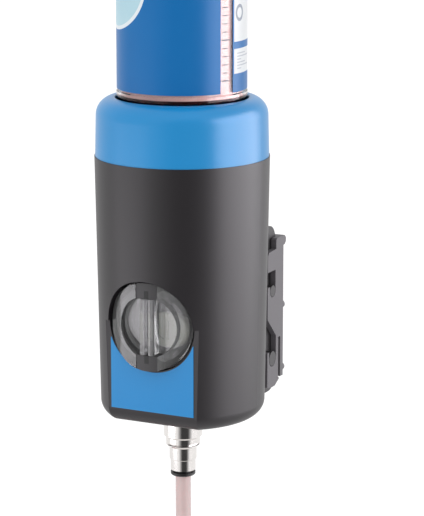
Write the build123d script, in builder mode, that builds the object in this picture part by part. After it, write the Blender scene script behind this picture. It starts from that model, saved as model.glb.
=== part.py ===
from build123d import *
import os
from math import asin, cos, pi, radians, sin, sqrt, tan

# Automatic grease lubricator hanging on its wall bracket. Millimetres, +Z up.
# The wall is the plane Y = 0, the front faces -Y, and the origin lies on the wall, midway
# between the bracket's two screw holes.

# ---- clearances ------------------------------------------------------------------------
overcut = 1.0           # a cut starts and ends this far outside what it cuts
running_gap = 0.05      # radial, a shaft or stem in its bore
seat_gap = 0.15         # between fixed pieces that are laid in or on each other
free_gap = 0.3          # between pieces that move past each other

# ---- housing ---------------------------------------------------------------------------
wall_gap = 18.9         # between the housing and the wall
joint_z = 91.0          # level of the joint between the housing and the top ring
housing_h = 133.7
housing_r_top = 44.1
housing_draft = 2.3     # the housing is this much slimmer at its foot
housing_wall = 2.6
bottom_round = 8.0
flat_inset = 8.0        # the front flat, in from the housing's foot
front_label_w = 46.2
front_label_h = 36.5
front_label_drop = 8.5  # its upper corners, below the window's middle
front_label_gap = 0.6   # from the window's edge

# ---- window in the front ---------------------------------------------------------------
window_drop = 80.6      # below the joint
window_r = 23.7
cup_wall = 2.0
cup_depth = 13.3        # floor of the window cup, behind the front flat
cover_r = 22.4
cover_face_r = 42.0     # the cover's face bows about an upright axis
cover_proud = 6.2       # middle of the face, ahead of the front flat
cover_h = 9.5           # middle of the face to the back
cover_floor = 2.5
recess_r = 15.6
grip_w = 7.2
coin_slot_w = 2.2
coin_slot_depth = 3.5
notch_w = 12.0
notch_r = 14.2          # inner edges of the notches, above and below the middle
lug_drop = 0.3          # the lugs in the notches lie this far behind the face
lug_gap = 0.2
cover_flange_t = 2.7    # dark ring's flange, behind the cover
cover_flange_gap = 0.4  # from the window's bore
skirt_r = 21.0
skirt_wall = 1.8
skirt_depth = 5.3
seal_section_r = 1.3

# ---- selector behind the window --------------------------------------------------------
dial_x = 4.5
dial_drop = 3.5
dial_r = 9.0
dial_t = 2.5
dial_set_back = 4.0     # the dial's face lies this far behind the cover
dial_rim_chamfer = 0.5
dial_pan_r = 5.0
dial_pan_depth = 1.2    # round pan in the dial's face, with a pointer left standing
dial_pointer_w = 2.4
dial_stem_r = 2.5
stem_end_gap = 0.2
board_w = 44.0
board_h = 56.0
board_t = 1.6
board_gap = 4.5         # between the board and the window cup's floor
switch_side = 13.0
switch_corner_r = 1.0
switch_floor = 0.8
switch_gap = 0.2        # between the switch and the window cup
board_corner_r = 3.0
post_r = 2.6
post_pitch = 30.0
post_hole_depth = 5.5
board_screw_l = 5.1
screw_r = 1.25
screw_slack = 0.3       # radial, a screw in its clearance hole
screw_head_r = 2.4
screw_head_h = 1.7
slot_w = 0.6

# ---- top ring --------------------------------------------------------------------------
ring_h = 29.6
ring_inset = 0.4        # its foot stands in from the housing's edge
ring_taper = 0.5
ring_round = 9.0
ring_mouth_gap = 1.1    # between the ring's mouth and the can
ring_mouth_round = 0.8
ring_wall = 2.6
skirt_in_h = 6.0        # ring's spigot in the housing
spigot_wall = 1.8

# ---- pump deck under the cartridge -----------------------------------------------------
deck_t = 3.0
pillar_r = 4.5
pillar_inset = 6.1      # pillar axis, in from the housing's upper edge
pillar_h = 22.0
pillar_hole_depth = 16.0
deck_screw_l = 12.0
deck_screw_inset = 8.1
deck_screw_count = 4
deck_screw_angle = 45
socket_wall = 2.6
socket_h = 12.0
socket_seal_t = 1.5
socket_seal_inset = 1.0
cradle_inset = 3.5      # in from the can's neck
cradle_wall = 1.8
deck_rib_t = 1.6
deck_rib_drop = 2.0     # ribs end this far below the socket's rim
deck_rib_count = 8
inlet_r = 3.0
inlet_wall = 2.0
inlet_insert = 4.0      # the deck's pipe in the pump block

# ---- cartridge -------------------------------------------------------------------------
can_inset = 11.9        # the can's side, in from the housing's upper edge
can_wall = 1.6
can_floor_rise = 14.0   # above the joint
can_h = 147.0
bead_rise = 30.0        # foot of the bead above the joint
bead_proud = 0.55
bead_h = 3.4
bead_chamfer = 0.5
neck_inset = 0.7        # below the bead the can is this much slimmer
can_foot_chamfer = 1.5
nozzle_r = 10.0
nozzle_bore_r = 7.0
funnel_h = 5.0
label_t = 0.25
label_end_gap = 0.8
strip_angle = 69.5      # middle of the clear strip, from the front towards +X
strip_width = 14.5      # degrees
follower_h = 12.0
follower_wall = 2.0
follower_land = 2.0     # height of each wiping land
follower_groove = 0.8
follower_hub_r = 6.0
follower_rib_t = 1.6
follower_rib_h = 6.0
follower_rib_count = 6
head_space = 4.0
cap_t = 2.5
cap_spigot_h = 3.0
cap_spigot_wall = 1.6
cap_edge_chamfer = 0.8
cap_rim_w = 4.5         # raised rim round the cap's sunk middle
cap_sink = 1.0
vent_r = 1.5

# ---- pump and drive --------------------------------------------------------------------
block_w = 24.0
block_corner_r = 3.0
arm_drop = 5.0          # lower bearing arm, below the yoke
arm_t = 4.0
arm_r = 6.0
plate_drop = 43.0       # top of the gear plate, below the joint
plate_t = 2.0
plate_lobe_r = 8.0
plate_rim = 1.5         # plate round the motor
drive_inset = 22.1      # drive shaft, in from the housing's upper edge
drive_y = 2.0           # behind the housing's axis
motor_r = 7.75
motor_h = 30.0
motor_round = 1.0
motor_boss_r = 3.0
motor_boss_h = 1.5
motor_tag_pitch = 9.0
motor_tag_w = 2.0
motor_tag_t = 0.6
motor_tag_h = 3.5
gear_module = 0.75
gear_teeth = 40
pinion_teeth = 10
gear_face = 4.0
gear_lift = 0.5         # gears above their plate
gear_hub_r = 4.0
gear_hub_h = 2.0
gear_hole_r = 2.6
gear_hole_pitch_r = 9.0
gear_hole_count = 5
gear_root_depth = 1.25  # in modules
gear_flank = 0.42       # half the tooth's narrowing, root and tip about the pitch line, in modules
gear_backlash = 0.12
mesh_ease = 0.12        # added to the distance between the two gear axes
shaft_r = 2.0
shaft_end_l = 1.0       # beyond the lower bearing
shaft_top_l = 2.5       # above the gear
pinion_shaft_r = 1.5
pinion_shaft_insert = 7.5
throw = 2.0             # eccentric's throw: half the plunger's stroke
eccentric_r = 4.6
yoke_slack = 0.45
yoke_wall = 2.2
yoke_t = 4.0
yoke_round = 1.0
plunger_r = 3.0
plunger_drop = 15.0     # plunger axis, below the gear plate
plunger_tip_x = 4.7
chamber_end_x = -6.0
port_r = 1.5
port_inset = 1.0
stud_end_gap = 0.5
valve_r = 4.5
valve_h = 22.0
ball_r = 3.2
ball_gap = 0.3
spring_r = 3.2
spring_wire_r = 0.4
spring_turns = 4

# ---- battery ---------------------------------------------------------------------------
cell_r = 7.25
cell_h = 49.0
cell_pip_r = 2.7
cell_pip_h = 1.5
cell_inset = 14.8       # the cells' centres, in from the housing's foot
cell_first_angle = 86.0
cell_count = 4
holder_wall = 1.0
holder_floor = 2.0
holder_h = 16.0

# ---- outlet and push-in fitting --------------------------------------------------------
tube_r = 4.0
stud_r = 6.5
stud_h = 12.0
collar_r = 9.95
collar_h = 13.2
neck_r = 8.85
neck_h = 4.9
groove_depth = 0.5
groove_drop = 3.2       # below the collar
fitting_chamfer = 1.0
body_r = 7.05
body_h = 7.0
sleeve_r = 6.5
sleeve_h = 5.6
tube_insert = 12.3      # tube inside the fitting
tube_seal_w = 1.6
tube_seal_t = 1.5
washer_t = 0.4          # grip washer
washer_rise = 0.8       # its cone, from the rim up
washer_room = 0.8       # free height below it
adapter_bore_r = 2.5
stub_r = 5.0            # push-in body's stub in the adapter
stub_h = 7.0
stub_end_gap = 1.0
body_chamfer = 0.4
seal_room_wall = 1.35   # wall round the tube seal and the grip washer
seal_room_drop = 1.4    # below the tube's seat
release_r = 6.4
release_neck_r = 5.1
release_flange_h = 1.7
release_chamfer = 0.5
release_travel = 1.2

# ---- wall bracket ----------------------------------------------------------------------
bracket_half_w = 29.0
bracket_wall = 3.0
plate_off_wall = 3.1    # the back plate stands off the wall on its feet
cheek_front = 22.5      # front edges of the cheeks, off the wall
bracket_top_z = 36.0
bracket_low_z = -34.5
cheek_bevel = 1.5
cheek_fall = 1.0        # the cheeks' top edges slope down to the front by this much
cheek_drop = 3.5        # the cheeks end this far below the back plate
cheek_toe = 4.0
cheek_heel = 5.0
heel_set = 2.0
lip_top_z = 41.0
lip_t = 5.0
lip_bevel = 0.8
lip_reach = 6.0         # ahead of the plate's front
screw_pitch = 50.0
wall_screw_r = 2.65
boss_r = 7.0
foot_r = 2.1
foot_inset = 0.4
foot_z = (3.4, -30.6)
upper_peg_r = 3.0
upper_peg_z = 13.8
lower_peg_r = 3.9
lower_peg_z = -22.6
peg_line = 16.2         # pegs' axis, off the wall
lift_travel = 7.5       # the housing rises this far to come off the hooks
slot_flare = 1.5        # the upper slot's way in is this much higher
slit_w = 2.6
slit_h = 22.0
slit_set = 0.4

# ---- hook plate on the housing's back --------------------------------------------------
hook_top_z = 47.6
hook_low_z = -41.2
hook_round = 7.6
hook_wall = 2.4
hook_screw_pitch_x = 26.0
hook_screw_pitch_z = 64.0
hook_screw_l = 11.0
hook_boss_r = 3.4
hook_rib_t = 2.0
hook_rib_over = 5.0     # rib runs on past the screws
hook_wrap = 16.8        # the plate's sides reach this far round the housing's back

# ---- feed tube -------------------------------------------------------------------------
tube_length = 1000.0
coil_turns = 3
coil_mean_r = 45.0
turn_pitch = 8.3
coil_margin = 0.3       # the coil's solid stands this far outside its turns
coil_chamfer = 1.2
tie_angles = (100, 200)
tie_gap = 0.3
tie_w = 4.6
tie_t = 1.2
tie_round = 2.0
end_r = 7.0
end_neck_r = 6.2
end_neck_h = 2.5
end_chamfer = 0.8
end_bore_r = 2.0
end_body_h = 18.0
end_hex = 14.0
end_hex_h = 5.0
end_thread_r = 4.86
end_thread_h = 7.5
end_insert = 11.0

# ---- levels and places worked out from the sizes above ---------------------------------
wall_to_axis = housing_r_top + wall_gap
axis_y = -wall_to_axis
housing_r_low = housing_r_top - housing_draft
flat_reach = housing_r_low - flat_inset         # front flat, ahead of the axis
cup_floor_reach = flat_reach - cup_depth
cover_face_reach = flat_reach + cover_proud
cover_back_reach = cover_face_reach - cover_h
dial_face_reach = cover_back_reach - dial_set_back
board_reach = cup_floor_reach - board_gap       # front of the circuit board
pillar_pitch_r = housing_r_top - pillar_inset
deck_screw_pitch_r = housing_r_top - deck_screw_inset
housing_low_z = joint_z - housing_h
floor_z = housing_low_z + housing_wall
window_z = joint_z - window_drop
deck_z = joint_z - skirt_in_h                   # top of the deck
plate_z = joint_z - plate_drop                  # top of the gear plate
block_top_z = plate_z - plate_t
plunger_z = plate_z - plunger_drop
seat_z = deck_z - deck_t
can_r = housing_r_top - can_inset
bead_r = can_r + bead_proud
can_neck_r = can_r - neck_inset
ring_mouth_r = can_r + ring_mouth_gap
cradle_r = can_neck_r - cradle_inset
drive_x = housing_r_top - drive_inset
cell_pitch_r = housing_r_low - cell_inset
can_floor_z = joint_z + can_floor_rise
can_top_z = can_floor_z + can_h
bead_z = joint_z + bead_rise
gear_r = gear_module * gear_teeth / 2
pinion_r = gear_module * pinion_teeth / 2
gear_distance = gear_r + pinion_r + mesh_ease
motor_y = drive_y + gear_distance
can_bore_r = can_r - can_wall
hook_half_w = bracket_half_w - bracket_wall - free_gap
hook_back_y = -(plate_off_wall + bracket_wall + free_gap)
hook_mid_z = (hook_top_z + hook_low_z) / 2

spin_axis = Axis((0, axis_y, 0), (0, 0, 1))
profile_plane = Plane.XZ.offset(wall_to_axis)   # local x is the radius, local y the height
clear_of_all = 200.0                            # longer than anything that it has to cut


def housing_radius(z):
    """Outer radius of the tapered housing at height z."""
    share = (z - housing_low_z) / housing_h
    return housing_r_low + (housing_r_top - housing_r_low) * share


def level(z):
    """Horizontal plane at height z, centred on the housing's axis."""
    return Plane((0, axis_y, z))


def facing(reach, x=0.0, z=window_z):
    """Upright plane that faces the front, reach ahead of the housing's axis."""
    return Plane((x, axis_y - reach, z), x_dir=(1, 0, 0), z_dir=(0, -1, 0))


def turned(outline):
    """Solid turned about the housing's axis from its corners, as radius and height."""
    with BuildPart() as blank:
        with BuildSketch(profile_plane):
            with BuildLine():
                Polyline(*outline, close=True)
            make_face()
        revolve(axis=spin_axis)
    return blank.part


def tapered_cup(low_r, high_r, low, high, rounding, flat):
    """Tapered cup form with a flat front up to the window's middle and a rounded foot."""
    with BuildPart() as cup:
        add(turned([(0, low), (low_r, low), (high_r, high), (0, high)]))
        with BuildSketch(level(low - overcut)):
            with Locations((0, -flat)):
                Rectangle(clear_of_all, clear_of_all, align=(Align.CENTER, Align.MAX))
        extrude(amount=window_z - low + overcut, mode=Mode.SUBTRACT)
        fillet(cup.faces().sort_by(Axis.Z)[0].edges(), rounding)
    return cup.part


def washer(outer, inner, low, high):
    """Plain ring on the housing's axis."""
    return turned([(inner, low), (outer, low), (outer, high), (inner, high)])


def spur_gear(teeth, face, bore, turn):
    """Spur gear with straight-sided teeth, standing on the plane XY."""
    pitch_r = gear_module * teeth / 2
    tip_r = pitch_r + gear_module
    root_r = pitch_r - gear_root_depth * gear_module
    half_pitch = pi * gear_module / 4 - gear_backlash
    half_tip = half_pitch - gear_flank * gear_module
    half_root = half_pitch + gear_flank * gear_module
    with BuildSketch() as tooth:
        with BuildLine():
            Polyline(
                (root_r - gear_module / 2, -half_root),
                (root_r, -half_root),
                (tip_r, -half_tip),
                (tip_r, half_tip),
                (root_r, half_root),
                (root_r - gear_module / 2, half_root),
                close=True,
            )
        make_face()
    with BuildPart() as gear:
        with BuildSketch():
            Circle(root_r)
            with PolarLocations(0, teeth, start_angle=turn):
                add(tooth.sketch)
            Circle(bore, mode=Mode.SUBTRACT)
        extrude(amount=face)
    return gear.part


# ---- housing shell: a tapered cup with a front flat, a window cup and deck pillars ------
with BuildPart() as cavity:
    add(tapered_cup(
        housing_r_low - housing_wall,
        housing_r_top - housing_wall,
        floor_z,
        joint_z + overcut,
        bottom_round - housing_wall,
        flat_reach - housing_wall,
    ))
    # what stays standing in the hollow: the cup, the board's posts and the deck's pillars
    with BuildSketch(facing(cup_floor_reach)):
        Circle(window_r + cup_wall)
    extrude(amount=clear_of_all / 2, mode=Mode.SUBTRACT)
    with BuildSketch(facing(board_reach)):
        with GridLocations(post_pitch, post_pitch, 2, 2):
            Circle(post_r)
    extrude(amount=cup_floor_reach - board_reach, mode=Mode.SUBTRACT)
    with BuildSketch(level(seat_z)):
        with PolarLocations(pillar_pitch_r, deck_screw_count, start_angle=deck_screw_angle):
            Circle(pillar_r)
    extrude(amount=-pillar_h, mode=Mode.SUBTRACT)

with BuildPart() as housing_shell:
    add(tapered_cup(
        housing_r_low, housing_r_top, housing_low_z, joint_z, bottom_round, flat_reach
    ))
    add(cavity.part, mode=Mode.SUBTRACT)
    # window bore, the dial's stem hole and the outlet's hole in the floor
    with BuildSketch(facing(cup_floor_reach + cup_wall)):
        Circle(window_r)
    extrude(amount=clear_of_all / 2, mode=Mode.SUBTRACT)
    with BuildSketch(facing(cup_floor_reach - overcut, dial_x, window_z - dial_drop)):
        Circle(dial_stem_r + running_gap)
    extrude(amount=cup_wall + 2 * overcut, mode=Mode.SUBTRACT)
    with BuildSketch(level(housing_low_z - overcut)):
        Circle(stud_r + seat_gap)
    extrude(amount=housing_wall + 2 * overcut, mode=Mode.SUBTRACT)
    # pilot holes in the board's posts and the deck's pillars
    with BuildSketch(facing(board_reach)):
        with GridLocations(post_pitch, post_pitch, 2, 2):
            Circle(screw_r)
    extrude(amount=post_hole_depth, mode=Mode.SUBTRACT)
    with BuildSketch(level(seat_z)):
        with PolarLocations(deck_screw_pitch_r, deck_screw_count, start_angle=deck_screw_angle):
            Circle(screw_r)
    extrude(amount=-pillar_hole_depth, mode=Mode.SUBTRACT)
    # clearance holes in the back for the hook plate's screws
    with BuildSketch(Plane.XZ.offset(wall_to_axis - housing_r_low / 2)):
        with Locations((0, hook_mid_z)):
            with GridLocations(hook_screw_pitch_x, hook_screw_pitch_z, 2, 2):
                Circle(screw_r + screw_slack)
    extrude(amount=-housing_r_top, mode=Mode.SUBTRACT)

# ---- top ring: a rounded collar with a spigot in the housing ----------------------------
ring_foot_r = housing_r_top - ring_inset
ring_side_r = ring_foot_r - ring_taper
ring_top_z = joint_z + ring_h
spigot_r = housing_r_top - housing_wall - seat_gap
with BuildPart() as top_ring:
    with BuildSketch(profile_plane):
        with BuildLine():
            Line((ring_foot_r, joint_z), (ring_side_r, ring_top_z - ring_round))
            TangentArc(
                (ring_side_r, ring_top_z - ring_round),
                (ring_side_r - ring_round, ring_top_z),
                tangent=(0, 1),
            )
            Polyline(
                (ring_side_r - ring_round, ring_top_z),
                (ring_mouth_r, ring_top_z),
                (ring_mouth_r, ring_top_z - ring_wall),
                (ring_side_r - ring_round, ring_top_z - ring_wall),
            )
            TangentArc(
                (ring_side_r - ring_round, ring_top_z - ring_wall),
                (ring_side_r - ring_wall, ring_top_z - ring_round),
                tangent=(1, 0),
            )
            Polyline(
                (ring_side_r - ring_wall, ring_top_z - ring_round),
                (spigot_r - spigot_wall, joint_z),
                (spigot_r - spigot_wall, deck_z),
                (spigot_r, deck_z),
                (spigot_r, joint_z),
                (ring_foot_r, joint_z),
            )
        make_face()
    revolve(axis=spin_axis)
    mouth_edges = top_ring.edges().filter_by(GeomType.CIRCLE).filter_by(
        lambda edge: abs(edge.radius - ring_mouth_r) < 0.01
    )
    fillet(mouth_edges, ring_mouth_round)

# ---- pump deck: carries the cartridge and leads the grease down to the pump -------------
socket_r = nozzle_r + free_gap
deck_r = spigot_r - seat_gap
cradle_top_z = can_floor_z - free_gap
inlet_end_z = block_top_z - inlet_insert
with BuildPart() as pump_deck:
    add(washer(deck_r, inlet_r, seat_z, deck_z))
    add(washer(socket_r + socket_wall, socket_r, deck_z, deck_z + socket_h))
    add(washer(cradle_r, cradle_r - cradle_wall, deck_z, cradle_top_z))
    add(washer(inlet_r + inlet_wall, inlet_r, inlet_end_z, seat_z))
    with BuildSketch(level(deck_z)):
        with PolarLocations((cradle_r + socket_r) / 2, deck_rib_count):
            Rectangle(cradle_r - socket_r - cradle_wall, deck_rib_t)
    extrude(amount=socket_h - deck_rib_drop)
    with BuildSketch(level(deck_z)):
        with PolarLocations(deck_screw_pitch_r, deck_screw_count, start_angle=deck_screw_angle):
            Circle(screw_r + screw_slack)
    extrude(amount=-deck_t, mode=Mode.SUBTRACT)

with BuildPart() as socket_seal:
    add(washer(nozzle_r - seat_gap, inlet_r + socket_seal_inset, deck_z, deck_z + socket_seal_t))


def cheese_screw(length):
    """Cheese-head screw, its head standing on the plane XY, with a screwdriver slot."""
    with BuildPart() as screw:
        with BuildSketch():
            Circle(screw_head_r)
        extrude(amount=screw_head_h)
        with BuildSketch():
            Circle(screw_r - running_gap)
        extrude(amount=-length)
        with BuildSketch(Plane.XY.offset(screw_head_h)):
            Rectangle(2 * screw_head_r + overcut, slot_w)
        extrude(amount=-screw_head_h / 2, mode=Mode.SUBTRACT)
    return screw.part


with BuildPart() as deck_screws:
    with Locations(level(deck_z)):
        with PolarLocations(deck_screw_pitch_r, deck_screw_count, start_angle=deck_screw_angle):
            add(cheese_screw(deck_screw_l))

# ---- cartridge: clear can, its wrap label, grease, follower and cap ---------------------
nozzle_end_z = deck_z + socket_seal_t + free_gap
with BuildPart() as cartridge_shell:
    add(turned([
        (nozzle_bore_r, nozzle_end_z),
        (nozzle_r, nozzle_end_z),
        (nozzle_r, can_floor_z),
        (can_neck_r - can_foot_chamfer, can_floor_z),
        (can_neck_r, can_floor_z + can_foot_chamfer),
        (can_neck_r, bead_z),
        (bead_r, bead_z + bead_chamfer),
        (bead_r, bead_z + bead_h - bead_chamfer),
        (can_r, bead_z + bead_h),
        (can_r, can_top_z),
        (can_bore_r, can_top_z),
        (can_bore_r, can_floor_z + can_wall + funnel_h),
        (nozzle_bore_r, can_floor_z + can_wall),
    ]))

label_low_z = bead_z + bead_h + label_end_gap
label_high_z = can_top_z - label_end_gap
strip_edge = radians(strip_angle + strip_width / 2)
label_start = Plane(
    (0, axis_y, 0),
    x_dir=(sin(strip_edge), -cos(strip_edge), 0),
    z_dir=(-cos(strip_edge), -sin(strip_edge), 0),
)
with BuildPart() as cartridge_label:
    with BuildSketch(label_start):
        with Locations((can_r + seat_gap + label_t / 2, (label_low_z + label_high_z) / 2)):
            Rectangle(label_t, label_high_z - label_low_z)
    revolve(axis=spin_axis, revolution_arc=360 - strip_width)

follower_z = can_top_z - cap_spigot_h - head_space - follower_h
with BuildPart() as grease_charge:
    add(turned([
        (0, nozzle_end_z),
        (nozzle_bore_r - seat_gap, nozzle_end_z),
        (nozzle_bore_r - seat_gap, can_floor_z + can_wall + seat_gap),
        (can_bore_r - seat_gap, can_floor_z + can_wall + funnel_h + seat_gap),
        (can_bore_r - seat_gap, follower_z - seat_gap),
        (0, follower_z - seat_gap),
    ]))

follower_r = can_bore_r - running_gap
follower_top_z = follower_z + follower_h
follower_hub_z = follower_top_z - follower_land - follower_groove
with BuildPart() as follower_piston:
    # two wiping lands with a groove between them, an open back and a hub
    add(turned([
        (0, follower_z),
        (follower_r, follower_z),
        (follower_r, follower_z + follower_land),
        (follower_r - follower_groove, follower_z + follower_land + follower_groove),
        (follower_r - follower_groove, follower_top_z - follower_land - follower_groove),
        (follower_r, follower_top_z - follower_land),
        (follower_r, follower_top_z),
        (follower_r - follower_wall, follower_top_z),
        (follower_r - follower_wall, follower_z + follower_wall),
        (follower_hub_r, follower_z + follower_wall),
        (follower_hub_r, follower_hub_z),
        (0, follower_hub_z),
    ]))
    with BuildSketch(level(follower_z + follower_wall)):
        with PolarLocations((follower_r - follower_wall + follower_hub_r) / 2, follower_rib_count):
            Rectangle(follower_r - follower_wall - follower_hub_r + overcut, follower_rib_t)
    extrude(amount=follower_rib_h)

cap_spigot_r = can_bore_r - seat_gap
with BuildPart() as cartridge_cap:
    add(turned([
        (vent_r, can_top_z),
        (cap_spigot_r - cap_spigot_wall, can_top_z),
        (cap_spigot_r - cap_spigot_wall, can_top_z - cap_spigot_h),
        (cap_spigot_r, can_top_z - cap_spigot_h),
        (cap_spigot_r, can_top_z),
        (bead_r, can_top_z),
        (bead_r, can_top_z + cap_t - cap_edge_chamfer),
        (bead_r - cap_edge_chamfer, can_top_z + cap_t),
        (bead_r - cap_rim_w, can_top_z + cap_t),
        (bead_r - cap_rim_w - cap_sink, can_top_z + cap_t - cap_sink),
        (vent_r, can_top_z + cap_t - cap_sink),
    ]))

# ---- front label on the flat: cut round along the window --------------------------------
with BuildPart() as front_label:
    with BuildSketch(facing(flat_reach)):
        with Locations((0, -front_label_drop)):
            Rectangle(front_label_w, front_label_h, align=(Align.CENTER, Align.MAX))
        Circle(window_r + front_label_gap, mode=Mode.SUBTRACT)
    extrude(amount=label_t)

# ---- clear twist-off cover and the dark ring that turns with it -------------------------
def bowed_form(drop):
    """Upright cylinder that ends at the cover's bowed face, or a drop behind it."""
    with BuildPart() as form:
        with BuildSketch(level(window_z - cover_face_r)):
            with Locations((0, cover_face_r - cover_face_reach)):
                Circle(cover_face_r - drop)
        extrude(amount=2 * cover_face_r)
    return form.part


with BuildPart() as window_cover:
    with BuildSketch(facing(cover_back_reach)):
        Circle(cover_r)
    extrude(amount=cover_h)
    add(bowed_form(0), mode=Mode.INTERSECT)
    # round recess with the grip bar left standing across it, and a slot for a coin in the bar
    with BuildSketch(facing(cover_back_reach + cover_floor)):
        Circle(recess_r)
        Rectangle(grip_w, 2 * recess_r + overcut, mode=Mode.SUBTRACT)
    extrude(amount=cover_h, mode=Mode.SUBTRACT)
    with BuildSketch(facing(cover_face_reach - coin_slot_depth)):
        Rectangle(coin_slot_w, 2 * recess_r)
    extrude(amount=coin_slot_depth + overcut, mode=Mode.SUBTRACT)
    # notches at the top and the bottom of the flange, for the dark ring's lugs
    with BuildSketch(facing(cover_back_reach)):
        Rectangle(notch_w, 2 * cover_r + overcut)
        Rectangle(notch_w + overcut, 2 * notch_r, mode=Mode.SUBTRACT)
    extrude(amount=cover_h, mode=Mode.SUBTRACT)

with BuildPart() as cover_ring:
    with BuildSketch(facing(cover_back_reach)):
        Rectangle(notch_w - 2 * lug_gap, 2 * cover_r + overcut)
        Rectangle(notch_w, 2 * (notch_r + lug_gap), mode=Mode.SUBTRACT)
        Circle(cover_r, mode=Mode.INTERSECT)
    extrude(amount=cover_h)
    add(bowed_form(lug_drop), mode=Mode.INTERSECT)
    # flange behind the cover and a skirt into the window cup
    with BuildSketch(facing(cover_back_reach)):
        Circle(window_r - cover_flange_gap)
        Circle(skirt_r - skirt_wall, mode=Mode.SUBTRACT)
    extrude(amount=-cover_flange_t)
    with BuildSketch(facing(cover_back_reach)):
        Circle(skirt_r)
        Circle(skirt_r - skirt_wall, mode=Mode.SUBTRACT)
    extrude(amount=-skirt_depth)

seal_mean_r = skirt_r + seal_section_r
with BuildPart() as cover_seal:
    with BuildSketch(Plane((0, axis_y, window_z), x_dir=(1, 0, 0), z_dir=(0, 0, 1))):
        with Locations((seal_mean_r, -cover_back_reach + cover_flange_t + seal_section_r)):
            Circle(seal_section_r)
    revolve(axis=Axis((0, axis_y, window_z), (0, -1, 0)))

# ---- selector dial, its switch and the circuit board ------------------------------------
dial_z = window_z - dial_drop
with BuildPart() as selector_dial:
    with BuildSketch(facing(dial_face_reach - dial_t, dial_x, dial_z)):
        Circle(dial_r)
    extrude(amount=dial_t)
    chamfer(selector_dial.faces().sort_by(Axis.Y)[0].edges(), dial_rim_chamfer)
    with BuildSketch(facing(dial_face_reach, dial_x, dial_z)):
        Circle(dial_pan_r)
        Rectangle(dial_pointer_w, 2 * dial_pan_r, mode=Mode.SUBTRACT)
    extrude(amount=-dial_pan_depth, mode=Mode.SUBTRACT)
    with BuildSketch(facing(dial_face_reach - dial_t, dial_x, dial_z)):
        Circle(dial_stem_r)
    extrude(amount=-(dial_face_reach - dial_t - board_reach - switch_floor - stem_end_gap))

with BuildPart() as rotary_switch:
    with BuildSketch(facing(board_reach, dial_x, dial_z)):
        RectangleRounded(switch_side, switch_side, switch_corner_r)
    extrude(amount=board_gap - switch_gap)
    with BuildSketch(facing(board_reach + switch_floor, dial_x, dial_z)):
        Circle(dial_stem_r + running_gap)
    extrude(amount=board_gap, mode=Mode.SUBTRACT)

with BuildPart() as circuit_board:
    with BuildSketch(facing(board_reach)):
        RectangleRounded(board_w, board_h, board_corner_r)
        with GridLocations(post_pitch, post_pitch, 2, 2):
            Circle(screw_r + screw_slack, mode=Mode.SUBTRACT)
    extrude(amount=-board_t)

with BuildPart() as board_screws:
    with Locations(Plane((0, axis_y - board_reach + board_t, window_z), z_dir=(0, 1, 0))):
        with GridLocations(post_pitch, post_pitch, 2, 2):
            add(cheese_screw(board_screw_l))

# ---- pump block: plunger bore, ports and the check valve's chamber ----------------------
valve_top_z = floor_z + valve_h
arm_z = plunger_z - yoke_t / 2 - arm_drop
inlet_port_x = plunger_tip_x - port_r - seat_gap
outlet_port_x = chamber_end_x + port_r + port_inset
with BuildPart() as pump_block:
    with BuildSketch(level(floor_z)):
        RectangleRounded(block_w, block_w, block_corner_r)
    extrude(amount=block_top_z - floor_z)
    # lower bearing arm for the drive shaft
    with BuildSketch(level(arm_z)):
        with Locations((0, drive_y)):
            Rectangle(drive_x, 2 * arm_r, align=(Align.MIN, Align.CENTER))
        with Locations((drive_x, drive_y)):
            Circle(arm_r)
    extrude(amount=-arm_t)
    with BuildSketch(level(arm_z)):
        with Locations((drive_x, drive_y)):
            Circle(shaft_r + running_gap)
    extrude(amount=-arm_t, mode=Mode.SUBTRACT)
    # inlet from the deck's pipe
    with BuildSketch(level(block_top_z)):
        Circle(inlet_r + inlet_wall + running_gap)
    extrude(amount=inlet_end_z - block_top_z, mode=Mode.SUBTRACT)
    with BuildSketch(level(inlet_end_z)):
        with Locations((inlet_port_x, drive_y - port_inset)):
            Circle(port_r)
    extrude(amount=plunger_z - inlet_end_z, mode=Mode.SUBTRACT)
    # plunger bore from the right-hand side
    with BuildSketch(Plane((chamber_end_x, axis_y + drive_y, plunger_z), z_dir=(1, 0, 0))):
        Circle(plunger_r + running_gap)
    extrude(amount=block_w, mode=Mode.SUBTRACT)
    # outlet down to the check valve and the thread for the outlet's stud
    with BuildSketch(level(plunger_z)):
        with Locations((outlet_port_x, drive_y)):
            Circle(port_r)
    extrude(amount=valve_top_z - plunger_z - overcut, mode=Mode.SUBTRACT)
    with BuildSketch(level(floor_z)):
        Circle(valve_r)
    extrude(amount=valve_h, mode=Mode.SUBTRACT)
    with BuildSketch(level(floor_z)):
        Circle(stud_r + running_gap)
    extrude(amount=stud_h - housing_wall + stud_end_gap, mode=Mode.SUBTRACT)

with BuildPart() as gear_plate:
    with BuildSketch(level(block_top_z)):
        with BuildSketch(mode=Mode.PRIVATE) as lobes:
            Circle(block_w / 2)
            with Locations((drive_x, drive_y)):
                Circle(plate_lobe_r)
            with Locations((drive_x, motor_y)):
                Circle(motor_r + plate_rim)
        make_hull(lobes.sketch.edges())
        Circle(inlet_r + inlet_wall + running_gap, mode=Mode.SUBTRACT)
        with Locations((drive_x, drive_y), (drive_x, motor_y)):
            Circle(shaft_r + running_gap, mode=Mode.SUBTRACT)
    extrude(amount=plate_t)

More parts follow.
